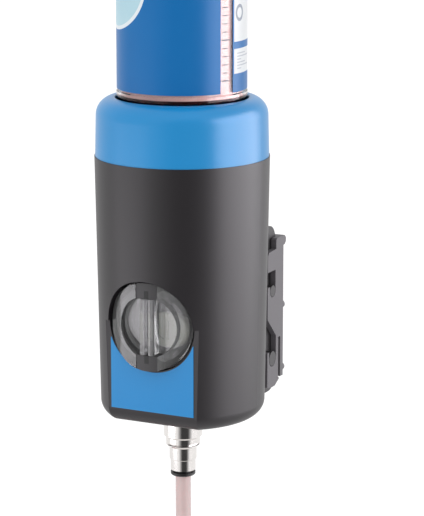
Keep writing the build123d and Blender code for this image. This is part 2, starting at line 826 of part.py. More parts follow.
with BuildPart() as gear_motor:
    with BuildSketch(level(block_top_z)):
        with Locations((drive_x, motor_y)):
            Circle(motor_r)
    extrude(amount=-motor_h)
    fillet(gear_motor.faces().sort_by(Axis.Z)[0].edges(), motor_round)
    with BuildSketch(level(block_top_z - motor_h)):
        with Locations((drive_x, motor_y)):
            Circle(motor_boss_r)
    extrude(amount=-motor_boss_h)
    with BuildSketch(level(block_top_z - motor_h)):
        with Locations((drive_x, motor_y)):
            with GridLocations(motor_tag_pitch, 1, 2, 1):
                Rectangle(motor_tag_t, motor_tag_w)
    extrude(amount=-motor_tag_h)
    # blind bore that takes the pinion's shaft
    with BuildSketch(level(block_top_z)):
        with Locations((drive_x, motor_y)):
            Circle(pinion_shaft_r + running_gap)
    extrude(amount=-pinion_shaft_insert - free_gap, mode=Mode.SUBTRACT)

gear_z = plate_z + gear_lift
gear_top_z = gear_z + gear_face
with BuildPart() as motor_pinion:
    with Locations((drive_x, axis_y + motor_y, gear_z)):
        add(spur_gear(pinion_teeth, gear_face, pinion_shaft_r / 2, 180 / pinion_teeth - 90))
    with BuildSketch(level(gear_top_z)):
        with Locations((drive_x, motor_y)):
            Circle(pinion_shaft_r)
    extrude(amount=block_top_z - pinion_shaft_insert - gear_top_z)

shaft_low_z = arm_z - arm_t - shaft_end_l
with BuildPart() as drive_gear:
    with Locations((drive_x, axis_y + drive_y, gear_z)):
        add(spur_gear(gear_teeth, gear_face, shaft_r, 90))
    with BuildSketch(level(gear_top_z)):
        with Locations((drive_x, drive_y)):
            Circle(gear_hub_r)
            Circle(shaft_r, mode=Mode.SUBTRACT)
    extrude(amount=gear_hub_h)
    with BuildSketch(level(gear_top_z)):
        with Locations((drive_x, drive_y)):
            with PolarLocations(gear_hole_pitch_r, gear_hole_count):
                Circle(gear_hole_r)
    extrude(amount=-gear_face, mode=Mode.SUBTRACT)

with BuildPart() as eccentric_shaft:
    with BuildSketch(level(shaft_low_z)):
        with Locations((drive_x, drive_y)):
            Circle(shaft_r)
    extrude(amount=gear_top_z + shaft_top_l - shaft_low_z)
    with BuildSketch(level(plunger_z - yoke_t / 2)):
        with Locations((drive_x + throw, drive_y)):
            Circle(eccentric_r)
    extrude(amount=yoke_t)

yoke_x = drive_x + throw
yoke_half_x = eccentric_r + yoke_slack
yoke_half_y = eccentric_r + throw + yoke_slack
with BuildPart() as plunger:
    with BuildSketch(Plane((plunger_tip_x, axis_y + drive_y, plunger_z), z_dir=(1, 0, 0))):
        Circle(plunger_r)
    extrude(amount=yoke_x - yoke_half_x - yoke_wall / 2 - plunger_tip_x)
    with BuildSketch(level(plunger_z - yoke_t / 2 + seat_gap)):
        with Locations((yoke_x, drive_y)):
            RectangleRounded(
                2 * (yoke_half_x + yoke_wall), 2 * (yoke_half_y + yoke_wall), yoke_round + yoke_wall
            )
    extrude(amount=yoke_t - 2 * seat_gap)
    with BuildSketch(level(plunger_z - plunger_r - overcut)):
        with Locations((yoke_x, drive_y)):
            RectangleRounded(2 * yoke_half_x, 2 * yoke_half_y, yoke_round)
    extrude(amount=2 * plunger_r + 2 * overcut, mode=Mode.SUBTRACT)

# ---- check valve: ball pressed up on its seat by a coil spring --------------------------
stud_top_z = housing_low_z + stud_h
ball_z = valve_top_z - ball_r - ball_gap
with BuildPart() as check_ball:
    with Locations((0, axis_y, ball_z)):
        Sphere(ball_r)

spring_low_z = stud_top_z + ball_gap
spring_high_z = ball_z - ball_r - ball_gap
spring_rise = spring_high_z - spring_low_z - 2 * spring_wire_r
with BuildPart() as check_spring:
    with BuildLine(level(spring_low_z + spring_wire_r)):
        coil_line = Helix(
            pitch=spring_rise / spring_turns,
            height=spring_rise,
            radius=spring_r - spring_wire_r,
        )
    with BuildSketch(Plane(coil_line @ 0, z_dir=coil_line % 0)):
        Rectangle(2 * spring_wire_r, 2 * spring_wire_r)
    sweep(is_frenet=True)

# ---- outlet adapter, push-in fitting and its release ring -------------------------------
collar_low_z = housing_low_z - collar_h
neck_low_z = collar_low_z - neck_h
body_low_z = neck_low_z - body_h
sleeve_low_z = body_low_z - sleeve_h
groove_z = collar_low_z - groove_drop
stub_top_z = neck_low_z + stub_h
with BuildPart() as outlet_adapter:
    add(turned([
        (adapter_bore_r, stud_top_z),
        (stud_r - fitting_chamfer, stud_top_z),
        (stud_r, stud_top_z - fitting_chamfer),
        (stud_r, housing_low_z),
        (collar_r, housing_low_z),
        (collar_r, collar_low_z + fitting_chamfer),
        (neck_r, collar_low_z),
        (neck_r, groove_z + groove_depth),
        (neck_r - groove_depth, groove_z),
        (neck_r, groove_z - groove_depth),
        (neck_r, neck_low_z + fitting_chamfer),
        (neck_r - fitting_chamfer, neck_low_z),
        (stub_r, neck_low_z),
        (stub_r, stub_top_z + stub_end_gap),
        (adapter_bore_r, stub_top_z + stub_end_gap),
    ]))

release_low_z = sleeve_low_z - release_travel - release_flange_h
tube_seat_z = release_low_z + tube_insert
tube_bore_r = tube_r + running_gap
release_bore_r = tube_r + 2 * running_gap
seal_room_r = body_r - seal_room_wall
seal_top_z = tube_seat_z - seal_room_drop
seal_high_z = seal_top_z - seat_gap
seal_low_z = seal_high_z - tube_seal_t
washer_low_z = seal_low_z - washer_rise - seat_gap
seal_room_z = washer_low_z - washer_room
with BuildPart() as push_in_body:
    add(turned([
        (adapter_bore_r, stub_top_z),
        (stub_r - running_gap, stub_top_z),
        (stub_r - running_gap, neck_low_z),
        (body_r - body_chamfer, neck_low_z),
        (body_r, neck_low_z - body_chamfer),
        (body_r, body_low_z + body_chamfer),
        (sleeve_r, body_low_z),
        (sleeve_r, sleeve_low_z),
        (release_neck_r + running_gap, sleeve_low_z),
        (release_neck_r + running_gap, seal_room_z),
        (seal_room_r, seal_room_z),
        (seal_room_r, seal_top_z),
        (tube_bore_r, seal_top_z),
        (tube_bore_r, tube_seat_z),
        (adapter_bore_r, tube_seat_z),
    ]))

with BuildPart() as tube_seal:
    add(washer(tube_r + tube_seal_w, tube_r, seal_low_z, seal_high_z))

# grip washer: a flat rim and a thin cone that bites the tube
with BuildPart() as grab_ring:
    add(turned([
        (seal_room_r - 2 * running_gap, washer_low_z + washer_t),
        (seal_room_r - 2 * running_gap, washer_low_z),
        (release_neck_r, washer_low_z),
        (release_bore_r, washer_low_z + washer_rise - washer_t / 2),
        (release_bore_r, washer_low_z + washer_rise),
        (release_neck_r, washer_low_z + washer_t),
    ]))

release_top_z = washer_low_z - release_travel - free_gap
with BuildPart() as release_ring:
    add(turned([
        (release_bore_r, release_low_z),
        (release_r - release_chamfer, release_low_z),
        (release_r, release_low_z + release_chamfer),
        (release_r, release_low_z + release_flange_h),
        (release_neck_r, release_low_z + release_flange_h),
        (release_neck_r, release_top_z),
        (release_bore_r, release_top_z),
    ]))

# ---- battery: four cells standing in their holder, with a contact cap on top ------------
cell_z = floor_z + holder_floor
cell_top_z = cell_z + cell_h + cell_pip_h
pocket_r = cell_r + seat_gap
cell_step = 2 * asin((pocket_r + holder_wall / 2) / cell_pitch_r)
cell_places = []
for step in range(cell_count):
    cell_angle = radians(cell_first_angle) + step * cell_step
    cell_places.append((cell_pitch_r * cos(cell_angle), cell_pitch_r * sin(cell_angle)))
with BuildPart() as battery_holder:
    with BuildSketch(level(floor_z)):
        with Locations(*cell_places):
            Circle(cell_r - holder_wall)
    extrude(amount=holder_floor)
    with BuildSketch(level(floor_z + holder_floor / 2)):
        with Locations(*cell_places):
            Circle(pocket_r + holder_wall)
    extrude(amount=holder_h)
    with BuildSketch(level(cell_z)):
        with Locations(*cell_places):
            Circle(pocket_r)
    extrude(amount=holder_h, mode=Mode.SUBTRACT)

with BuildPart() as battery_cells:
    with BuildSketch(level(cell_z)):
        with Locations(*cell_places):
            Circle(cell_r)
    extrude(amount=cell_h)
    with BuildSketch(level(cell_z + cell_h)):
        with Locations(*cell_places):
            Circle(cell_pip_r)
    extrude(amount=cell_pip_h)

with BuildPart() as battery_cap:
    with BuildSketch(level(cell_top_z + holder_floor)):
        with Locations(*cell_places):
            Circle(pocket_r + holder_wall)
    extrude(amount=-holder_h / 2)
    with BuildSketch(level(cell_top_z)):
        with Locations(*cell_places):
            Circle(pocket_r)
    extrude(amount=-holder_h, mode=Mode.SUBTRACT)

# ---- hook plate: hollow block on the housing's back with four pegs ----------------------
hook_front_y = axis_y + housing_r_low - hook_wrap
with BuildPart() as back_of_housing:
    add(turned([
        (0, housing_low_z),
        (housing_r_low + seat_gap, housing_low_z),
        (housing_r_top + seat_gap, joint_z),
        (0, joint_z),
    ]))

with BuildPart() as hook_plate:
    with BuildSketch(Plane.YZ):
        with BuildLine():
            FilletPolyline(
                (hook_front_y, hook_low_z),
                (hook_back_y, hook_low_z),
                (hook_back_y, hook_top_z),
                (hook_front_y, hook_top_z),
                radius=hook_round,
            )
            Line((hook_front_y, hook_top_z), (hook_front_y, hook_low_z))
        make_face()
    extrude(amount=hook_half_w, both=True)
    # hollow from the front, with the screw bosses left standing
    with BuildSketch(Plane.YZ):
        with BuildLine():
            FilletPolyline(
                (hook_front_y, hook_low_z + hook_wall),
                (hook_back_y - hook_wall, hook_low_z + hook_wall),
                (hook_back_y - hook_wall, hook_top_z - hook_wall),
                (hook_front_y, hook_top_z - hook_wall),
                radius=hook_round - hook_wall,
            )
            Line((hook_front_y, hook_top_z - hook_wall), (hook_front_y, hook_low_z + hook_wall))
        make_face()
    extrude(amount=hook_half_w - hook_wall, both=True, mode=Mode.SUBTRACT)
    with BuildSketch(Plane.XZ.offset(-hook_back_y + hook_wall / 2)):
        with Locations((0, hook_mid_z)):
            with GridLocations(hook_screw_pitch_x, hook_screw_pitch_z, 2, 2):
                Circle(hook_boss_r)
            Rectangle(hook_rib_t, hook_screw_pitch_z + 2 * hook_rib_over)
    extrude(amount=hook_back_y - hook_front_y - hook_wall)
    add(back_of_housing.part, mode=Mode.SUBTRACT)
    with BuildSketch(Plane.XZ.offset(-hook_back_y + hook_wall)):
        with Locations((0, hook_mid_z)):
            with GridLocations(hook_screw_pitch_x, hook_screw_pitch_z, 2, 2):
                Circle(screw_r)
    extrude(amount=housing_r_low, mode=Mode.SUBTRACT)
    # pegs that hang in the bracket's slots
    for side in (1, -1):
        with BuildSketch(Plane.YZ.offset(side * (hook_half_w - overcut))):
            with Locations((-peg_line, upper_peg_z)):
                Circle(upper_peg_r)
            with Locations((-peg_line, lower_peg_z)):
                Circle(lower_peg_r)
        extrude(amount=side * (bracket_half_w - hook_half_w + overcut))

with BuildPart() as hook_screws:
    for z in (hook_mid_z - hook_screw_pitch_z / 2, hook_mid_z + hook_screw_pitch_z / 2):
        inner_r = housing_radius(z) - housing_wall - seat_gap
        head_y = sqrt(inner_r ** 2 - (hook_screw_pitch_x / 2 + screw_head_r) ** 2)
        with Locations(Plane((0, axis_y + head_y, z), x_dir=(1, 0, 0), z_dir=(0, -1, 0))):
            with GridLocations(hook_screw_pitch_x, 1, 2, 1):
                add(cheese_screw(hook_screw_l))

# ---- wall bracket: a channel whose cheeks carry the slots for the pegs -------------------
plate_back_y = -plate_off_wall
plate_front_y = plate_back_y - bracket_wall
upper_slot_half = upper_peg_r + free_gap
lower_slot_half = lower_peg_r + free_gap
upper_slot_top = upper_peg_z + lift_travel + upper_slot_half
lower_slot_top = lower_peg_z + lift_travel + lower_slot_half
cheek_y = -cheek_front
cheek_low_z = bracket_low_z - cheek_drop
heel_y = plate_front_y - heel_set
lip_front_y = plate_front_y - lip_reach
ramp_w = cheek_front - peg_line + lower_slot_half + overcut     # the lower slot's 45 degree way in
with BuildPart() as wall_bracket:
    # both cheeks, as one block that is then opened between them
    with BuildSketch(Plane.YZ):
        with BuildLine():
            Polyline(
                (plate_back_y, bracket_top_z),
                (cheek_y + cheek_bevel, bracket_top_z - cheek_fall),
                (cheek_y, bracket_top_z - cheek_fall - cheek_bevel),
                (cheek_y, cheek_low_z + cheek_fall),
                (cheek_y + cheek_toe, cheek_low_z),
                (heel_y - cheek_heel, cheek_low_z),
                (heel_y, cheek_low_z + cheek_heel / 2),
                (heel_y, bracket_low_z),
                (plate_back_y, bracket_low_z),
                close=True,
            )
        make_face()
    extrude(amount=bracket_half_w, both=True)
    # lip along the top that reaches back to the wall
    with BuildSketch(Plane.YZ):
        with BuildLine():
            Polyline(
                (lip_front_y, bracket_top_z - cheek_fall),
                (lip_front_y, lip_top_z - lip_bevel),
                (lip_front_y + lip_bevel, lip_top_z),
                (-2 * lip_bevel, lip_top_z),
                (0, lip_top_z - 2 * lip_bevel),
                (0, lip_top_z - lip_t + 2 * lip_bevel),
                (-2 * lip_bevel, lip_top_z - lip_t),
                (plate_back_y, lip_top_z - lip_t),
                (plate_back_y, bracket_top_z - cheek_fall),
                close=True,
            )
        make_face()
    extrude(amount=bracket_half_w, both=True)
    # the channel between the cheeks
    with BuildSketch():
        with Locations((0, plate_front_y)):
            Rectangle(
                2 * (bracket_half_w - bracket_wall), clear_of_all, align=(Align.CENTER, Align.MAX)
            )
    extrude(amount=clear_of_all, both=True, mode=Mode.SUBTRACT)
    # slots: the upper peg drops in from the front, the lower one slides down a ramp
    with BuildSketch(Plane.YZ):
        with Locations((-peg_line, upper_peg_z)):
            Circle(upper_slot_half)
        with Locations((-peg_line, (upper_peg_z + upper_slot_top) / 2)):
            Rectangle(2 * upper_slot_half, upper_slot_top - upper_peg_z)
        with Locations((-peg_line + upper_slot_half, upper_slot_top)):
            Rectangle(
                cheek_front - peg_line + upper_slot_half + overcut,
                2 * upper_slot_half + slot_flare,
                align=(Align.MAX, Align.MAX),
            )
        with Locations((-peg_line, lower_peg_z)):
            Circle(lower_slot_half)
        with BuildLine():
            Polyline(
                (-peg_line - lower_slot_half, lower_peg_z),
                (-peg_line + lower_slot_half, lower_peg_z),
                (-peg_line + lower_slot_half, lower_slot_top),
                (cheek_y - overcut, lower_slot_top + ramp_w),
                (cheek_y - overcut, lower_peg_z + lower_slot_half),
                (-peg_line - lower_slot_half, lower_peg_z + lower_slot_half),
                close=True,
            )
        make_face()
        with Locations((plate_front_y - slit_set, bracket_low_z)):
            Rectangle(slit_w, slit_h, align=(Align.MAX, Align.MIN))
    extrude(amount=bracket_half_w + overcut, both=True, mode=Mode.SUBTRACT)
    # screw bosses and small feet against the wall
    with BuildSketch(Plane.XZ.offset(plate_off_wall)):
        with GridLocations(1, screw_pitch, 1, 2):
            Circle(boss_r)
    extrude(amount=-plate_off_wall)
    with BuildSketch(Plane.XZ.offset(plate_off_wall)):
        for z in foot_z:
            with Locations((0, z)):
                with GridLocations(2 * (bracket_half_w - foot_r - foot_inset), 1, 2, 1):
                    Circle(foot_r)
    extrude(amount=-plate_off_wall)
    with Locations(Plane((0, plate_front_y, 0), x_dir=(1, 0, 0), z_dir=(0, -1, 0))):
        with GridLocations(1, screw_pitch, 1, 2):
            CounterSinkHole(wall_screw_r, 2 * wall_screw_r, depth=clear_of_all)

# ---- feed tube: hangs from the fitting, its spare length coiled and tied below it --------
lead_points = [
    (0, axis_y, tube_seat_z),
    (0, axis_y, tube_seat_z - 34),
    (0.8, axis_y + 0.1, tube_seat_z - 70),
    (2.6, axis_y + 0.4, tube_seat_z - 104),
]
lead_runs = [Vector(*after) - Vector(*before) for before, after in zip(lead_points, lead_points[1:])]
lead_length = sum(run.length for run in lead_runs)
end_x = lead_points[-1][0]
coil_x = end_x - coil_mean_r
coil_y = lead_points[-1][1]
turns_length = coil_turns * sqrt((2 * pi * coil_mean_r) ** 2 + turn_pitch ** 2)
coil_z = lead_points[-1][2]
tail_length = tube_length - turns_length - lead_length
coil_half = tube_r + coil_margin
coil_back_y = coil_y + coil_turns * turn_pitch


def corner_radii(points):
    """Largest arcs that the runs of a route leave room for, one for each corner."""
    radii = []
    for before, corner, after in zip(points, points[1:], points[2:]):
        first = Vector(*corner) - Vector(*before)
        second = Vector(*after) - Vector(*corner)
        half_turn = radians(first.get_angle(second)) / 2
        radii.append(0.45 * min(first.length, second.length) / tan(half_turn))
    return radii


lead_radii = corner_radii(lead_points)
print("feed tube radii", [round(r) for r in lead_radii])

with BuildPart() as feed_coil:
    with BuildSketch(Plane((coil_x, coil_y - coil_half, coil_z), x_dir=(1, 0, 0), z_dir=(0, 1, 0))):
        Circle(coil_mean_r + coil_half)
        Circle(coil_mean_r - coil_half, mode=Mode.SUBTRACT)
    extrude(amount=coil_turns * turn_pitch + 2 * coil_half)
    chamfer(feed_coil.edges().filter_by(GeomType.CIRCLE), coil_chamfer)

with BuildPart() as feed_tube:
    with BuildLine():
        FilletPolyline(*lead_points, radius=lead_radii)
    with BuildSketch(level(tube_seat_z)):
        Circle(tube_r)
    sweep()
    print("feed tube volume", feed_tube.part.volume, pi * tube_r ** 2 * lead_length)
    add(feed_coil.part, mode=Mode.SUBTRACT)

tail_low_z = coil_z - tail_length
with BuildPart() as feed_tail:
    with BuildSketch(Plane((end_x, coil_back_y, coil_z - coil_half))):
        Circle(tube_r)
    extrude(amount=tail_low_z - coil_z + coil_half)
    add(feed_coil.part, mode=Mode.SUBTRACT)

tie_inner_w = 2 * (coil_half + tie_gap)
tie_inner_h = coil_turns * turn_pitch + tie_inner_w
with BuildPart() as coil_ties:
    for angle in tie_angles:
        tie_plane = Plane(
            (coil_x, coil_y + coil_turns * turn_pitch / 2, coil_z),
            x_dir=(cos(radians(angle)), 0, sin(radians(angle))),
            z_dir=(-sin(radians(angle)), 0, cos(radians(angle))),
        )
        with BuildSketch(tie_plane.offset(-tie_w / 2)):
            with Locations((coil_mean_r, 0)):
                RectangleRounded(
                    tie_inner_w + 2 * tie_t, tie_inner_h + 2 * tie_t, tie_round + tie_t
                )
                RectangleRounded(tie_inner_w, tie_inner_h, tie_round, mode=Mode.SUBTRACT)
        extrude(amount=tie_w)

end_top_z = tail_low_z + end_insert
end_hex_top_z = end_top_z - end_body_h
end_low_z = end_hex_top_z - end_hex_h - end_thread_h
with BuildPart() as end_fitting:
    end_plane = Plane((end_x, coil_back_y, 0), x_dir=(1, 0, 0), z_dir=(0, -1, 0))
    with BuildSketch(end_plane):
        with BuildLine():
            Polyline(
                (tube_bore_r, end_top_z),
                (end_neck_r - end_chamfer, end_top_z),
                (end_neck_r, end_top_z - end_chamfer),
                (end_neck_r, end_top_z - end_neck_h),
                (end_r, end_top_z - end_neck_h - end_chamfer),
                (end_r, end_hex_top_z),
                (end_thread_r, end_hex_top_z - end_hex_h),
                (end_thread_r, end_low_z + end_chamfer),
                (end_thread_r - end_chamfer, end_low_z),
                (end_bore_r, end_low_z),
                (end_bore_r, tail_low_z - seat_gap),
                (tube_bore_r, tail_low_z - seat_gap),
                close=True,
            )
        make_face()
    revolve(axis=Axis((end_x, coil_back_y, 0), (0, 0, 1)))
    with BuildSketch(Plane((end_x, coil_back_y, end_hex_top_z))):
        RegularPolygon(end_hex / 2, 6, major_radius=False)
        Circle(end_bore_r, mode=Mode.SUBTRACT)
    extrude(amount=-end_hex_h)

# ---- write each piece to its own file ---------------------------------------------------
pieces = {
    "wall_bracket": wall_bracket,
    "housing_shell": housing_shell,
    "top_ring": top_ring,
    "front_label": front_label,
    "hook_plate": hook_plate,
    "hook_screws": hook_screws,
    "pump_deck": pump_deck,
    "deck_screws": deck_screws,
    "socket_seal": socket_seal,
    "window_cover": window_cover,
    "cover_ring": cover_ring,
    "cover_seal": cover_seal,
    "selector_dial": selector_dial,
    "rotary_switch": rotary_switch,
    "circuit_board": circuit_board,
    "board_screws": board_screws,
    "battery_holder": battery_holder,
    "battery_cells": battery_cells,
    "battery_cap": battery_cap,
    "gear_plate": gear_plate,
    "gear_motor": gear_motor,
    "motor_pinion": motor_pinion,
    "drive_gear": drive_gear,
    "eccentric_shaft": eccentric_shaft,
    "pump_block": pump_block,
    "plunger": plunger,
    "check_ball": check_ball,
    "check_spring": check_spring,
    "outlet_adapter": outlet_adapter,
    "push_in_body": push_in_body,
    "tube_seal": tube_seal,
    "grab_ring": grab_ring,
    "release_ring": release_ring,
    "cartridge_shell": cartridge_shell,
    "cartridge_label": cartridge_label,
    "cartridge_cap": cartridge_cap,
    "grease_charge": grease_charge,
    "follower_piston": follower_piston,
    "feed_tube": feed_tube,
    "feed_coil": feed_coil,
    "feed_tail": feed_tail,
    "coil_ties": coil_ties,
    "end_fitting": end_fitting,
}
os.makedirs("parts", exist_ok=True)
for name, piece in pieces.items():
    piece.part.label = name
    export_step(piece.part, f"parts/{name}.step")
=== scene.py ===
"""Looks of an automatic grease lubricator that hangs on its wall bracket.

Metres, +Z up. The wall is the plane Y = 0 and the front faces -Y.
"""
from math import cos, pi, radians, sin

import bmesh
import bpy
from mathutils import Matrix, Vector


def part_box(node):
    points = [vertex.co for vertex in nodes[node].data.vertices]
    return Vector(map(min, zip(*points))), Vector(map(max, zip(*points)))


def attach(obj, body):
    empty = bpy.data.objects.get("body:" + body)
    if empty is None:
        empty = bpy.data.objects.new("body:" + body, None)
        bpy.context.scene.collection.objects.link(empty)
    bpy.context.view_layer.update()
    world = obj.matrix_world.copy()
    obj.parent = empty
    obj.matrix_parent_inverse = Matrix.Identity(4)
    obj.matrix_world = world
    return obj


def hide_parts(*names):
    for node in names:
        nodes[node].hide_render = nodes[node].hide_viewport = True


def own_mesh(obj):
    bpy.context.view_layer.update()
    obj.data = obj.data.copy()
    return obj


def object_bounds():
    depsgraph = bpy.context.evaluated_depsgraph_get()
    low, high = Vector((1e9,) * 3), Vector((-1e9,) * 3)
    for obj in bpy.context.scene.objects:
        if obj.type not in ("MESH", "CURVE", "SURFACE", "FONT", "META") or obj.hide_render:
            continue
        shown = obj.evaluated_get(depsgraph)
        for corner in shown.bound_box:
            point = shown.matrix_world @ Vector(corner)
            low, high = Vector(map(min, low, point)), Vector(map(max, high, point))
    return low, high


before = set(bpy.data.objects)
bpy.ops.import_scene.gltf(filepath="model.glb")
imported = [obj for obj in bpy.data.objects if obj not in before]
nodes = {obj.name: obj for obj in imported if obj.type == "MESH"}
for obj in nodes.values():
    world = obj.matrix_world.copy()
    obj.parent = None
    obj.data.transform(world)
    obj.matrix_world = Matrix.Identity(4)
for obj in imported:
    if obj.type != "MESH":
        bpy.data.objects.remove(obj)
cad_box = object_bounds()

MM = 0.001
WHITE = (1, 1, 1, 1)


# ---- places taken from the frame -----------------------------------------------------------
def middle(node):
    """Centre of a node's box."""
    low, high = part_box(node)
    return (low + high) / 2


shell_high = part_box("housing_shell")[1]
cover_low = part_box("window_cover")[0]
tail_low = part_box("feed_tail")[0]
coil_low, coil_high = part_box("feed_coil")

axis_y = middle("outlet_adapter").y  # upright axis through can, pump and fitting
joint_z = shell_high.z  # where the blue ring sits on the housing
window_z = middle("window_cover").z


# ---- small helpers -------------------------------------------------------------------------
SHARP_EDGE = radians(35)


def add_object(name, data):
    """New object in the scene."""
    thing = bpy.data.objects.new(name, data)
    bpy.context.scene.collection.objects.link(thing)
    return thing


def mesh_from(name, bm):
    """Turns a bmesh into an object with smooth faces, apart from its sharp edges."""
    mesh = bpy.data.meshes.new(name)
    bmesh.ops.recalc_face_normals(bm, faces=bm.faces)
    bm.to_mesh(mesh)
    bm.free()
    mesh.shade_smooth()
    mesh.set_sharp_from_angle(angle=SHARP_EDGE)
    return add_object(name, mesh)


# ---- camera --------------------------------------------------------------------------------
VIEW_FROM = (0.4311, -0.8767, 0.2136)
VIEW_AIM = (0.0168, -0.0633, 0.0395)
VIEW_DISTANCE = 1.1527
LENS = 159.8
SENSOR = 36.0
FARTHEST_SEEN = 20


def make_camera():
    """Long lens from the front right, a little above."""
    data = bpy.data.cameras.new("camera")
    camera = add_object("camera", data)
    back = Vector(VIEW_FROM).normalized()
    camera.location = Vector(VIEW_AIM) + back * VIEW_DISTANCE
    camera.rotation_euler = back.to_track_quat("Z", "Y").to_euler()
    data.lens = LENS
    data.sensor_width = SENSOR
    data.clip_end = FARTHEST_SEEN
    bpy.context.scene.camera = camera


make_camera()


# ---- the feed tube, one length from the fitting to its end ---------------------------------
tube_r = 4.0 * MM
COIL_TURNS = 3
TURN_POINTS = 16
COIL_PLAY = 0.3 * MM  # kept free between the turns and the coil's box
TAIL_BEND = 24 * MM  # below the coil's middle, where the tail runs straight down
BELOW_FITTING = (
    (0, -0.063, -0.064),
    (0, -0.063, -0.098),
    (0.0008, -0.0629, -0.134),
)


def feed_route():
    """Down from the fitting, three tied turns, and on down to the end fitting."""
    points = [Vector(place) for place in BELOW_FITTING]
    coil_x = (coil_low.x + coil_high.x) / 2
    coil_z = (coil_low.z + coil_high.z) / 2
    front_y = coil_low.y + tube_r + COIL_PLAY
    back_y = coil_high.y - tube_r - COIL_PLAY
    mean_r = (coil_high.z - coil_low.z) / 2 - tube_r - COIL_PLAY
    last = COIL_TURNS * TURN_POINTS
    for step in range(last + 1):
        angle = -2 * pi * step / TURN_POINTS
        x = coil_x + mean_r * cos(angle)
        y = front_y + (back_y - front_y) * step / last
        z = coil_z + mean_r * sin(angle)
        points.append(Vector((x, y, z)))
    points.append(Vector((coil_x + mean_r, back_y, coil_z - TAIL_BEND)))
    points.append(Vector((coil_x + mean_r, back_y, tail_low.z)))
    return points


def feed_hose():
    """The clear tube as one smooth curve. Its width is on its points, so that its box fits."""
    curve = bpy.data.curves.new("feed_hose", "CURVE")
    curve.dimensions = "3D"
    route = feed_route()
    spline = curve.splines.new("NURBS")
    spline.points.add(len(route) - 1)
    for point, place in zip(spline.points, route):
        point.co = (*place, 1)
        point.radius = tube_r
    spline.order_u = 3
    spline.use_endpoint_u = True
    spline.resolution_u = 8
    curve.bevel_depth = 1.0  # times each point's radius
    curve.bevel_resolution = 6
    curve.use_fill_caps = True
    hose = add_object("feed_hose", curve)
    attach(hose, "housing")
    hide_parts("feed_tube", "feed_coil", "feed_tail")
    return hose


hose = feed_hose()


# ---- shader nodes --------------------------------------------------------------------------
FLOAT = "NodeSocketFloat"
COLOUR = "NodeSocketColor"


def feed(tree, value, socket):
    """Links a socket, or writes a number, into an input."""
    if isinstance(value, bpy.types.NodeSocket):
        tree.links.new(value, socket)
    else:
        socket.default_value = value


def maths(tree, operation, first, second=0.0, third=None, clamp=False):
    """One math node."""
    node = tree.nodes.new("ShaderNodeMath")
    node.operation = operation
    node.use_clamp = clamp
    feed(tree, first, node.inputs[0])
    feed(tree, second, node.inputs[1])
    if third is not None:
        feed(tree, third, node.inputs[2])
    return node.outputs[0]


def mix_colour(tree, share, first, second):
    """Blends two colours."""
    node = tree.nodes.new("ShaderNodeMix")
    node.data_type = "RGBA"
    feed(tree, share, node.inputs["Factor"])
    feed(tree, first, node.inputs[6])
    feed(tree, second, node.inputs[7])
    return node.outputs[2]


def object_place(tree):
    """Position in the piece's own frame, so that a finish moves with its piece."""
    return tree.nodes.new("ShaderNodeTexCoord").outputs["Object"]


def axes_of(tree, place):
    """X, Y and Z of a place, by name."""
    split = tree.nodes.new("ShaderNodeSeparateXYZ")
    tree.links.new(place, split.inputs[0])
    return split.outputs


def noise_of(tree, place, scale, detail=2.0):
    """Noise texture at so many lumps a metre."""
    noise = tree.nodes.new("ShaderNodeTexNoise")
    noise.inputs["Detail"].default_value = detail
    tree.links.new(place, noise.inputs["Vector"])
    feed(tree, scale, noise.inputs["Scale"])
    return noise.outputs["Fac"]


# ---- node groups shared by the materials ---------------------------------------------------
DRIFT_SCALE = 38.0  # lumps a metre in the plastic's colour
CLOUD_SCALE = 160.0  # lumps a metre in the metal's haze
TURNING_SCALE = (40, 40, 6000)  # draws noise out into fine rings round an upright axis
CLOUD_GLOSS = 0.06
CLOUD_DULL = 0.18
DULL_METAL = (0.3, 0.29, 0.28, 1)


def new_group(name, inputs):
    """Shader node group that puts out colour, roughness and height.

    Inputs are given as (name, kind, default).
    """
    group = bpy.data.node_groups.new(name, "ShaderNodeTree")
    for label, kind, value in inputs:
        socket = group.interface.new_socket(label, in_out="INPUT", socket_type=kind)
        socket.default_value = value
    for label, kind in (("Colour", COLOUR), ("Roughness", FLOAT), ("Height", FLOAT)):
        group.interface.new_socket(label, in_out="OUTPUT", socket_type=kind)
    return group, group.nodes.new("NodeGroupInput"), group.nodes.new("NodeGroupOutput")


def swing(tree, noise):
    """Noise made to swing round 0."""
    return maths(tree, "SUBTRACT", noise, 0.5)


def moulded_group():
    """Moulded plastic: faint colour drift, a fine grain in height and a drifting gloss."""
    group, source, sink = new_group(
        "moulded_plastic",
        [
            ("Colour", COLOUR, (0.5, 0.5, 0.5, 1)),
            ("Drift", FLOAT, 0.06),
            ("Grain scale", FLOAT, 4000.0),
            ("Roughness", FLOAT, 0.45),
            ("Gloss drift", FLOAT, 0.08),
        ],
    )
    place = object_place(group)
    broad = noise_of(group, place, DRIFT_SCALE, detail=3.0)
    fine = noise_of(group, place, source.outputs["Grain scale"])
    shade = maths(group, "MULTIPLY_ADD", swing(group, broad), source.outputs["Drift"], 1.0)
    tinted = group.nodes.new("ShaderNodeVectorMath")
    tinted.operation = "SCALE"
    group.links.new(source.outputs["Colour"], tinted.inputs[0])
    group.links.new(shade, tinted.inputs["Scale"])
    group.links.new(tinted.outputs[0], sink.inputs["Colour"])
    gloss = maths(group, "MULTIPLY", swing(group, fine), source.outputs["Gloss drift"])
    rough = maths(group, "ADD", source.outputs["Roughness"], gloss)
    group.links.new(rough, sink.inputs["Roughness"])
    group.links.new(fine, sink.inputs["Height"])
    return group


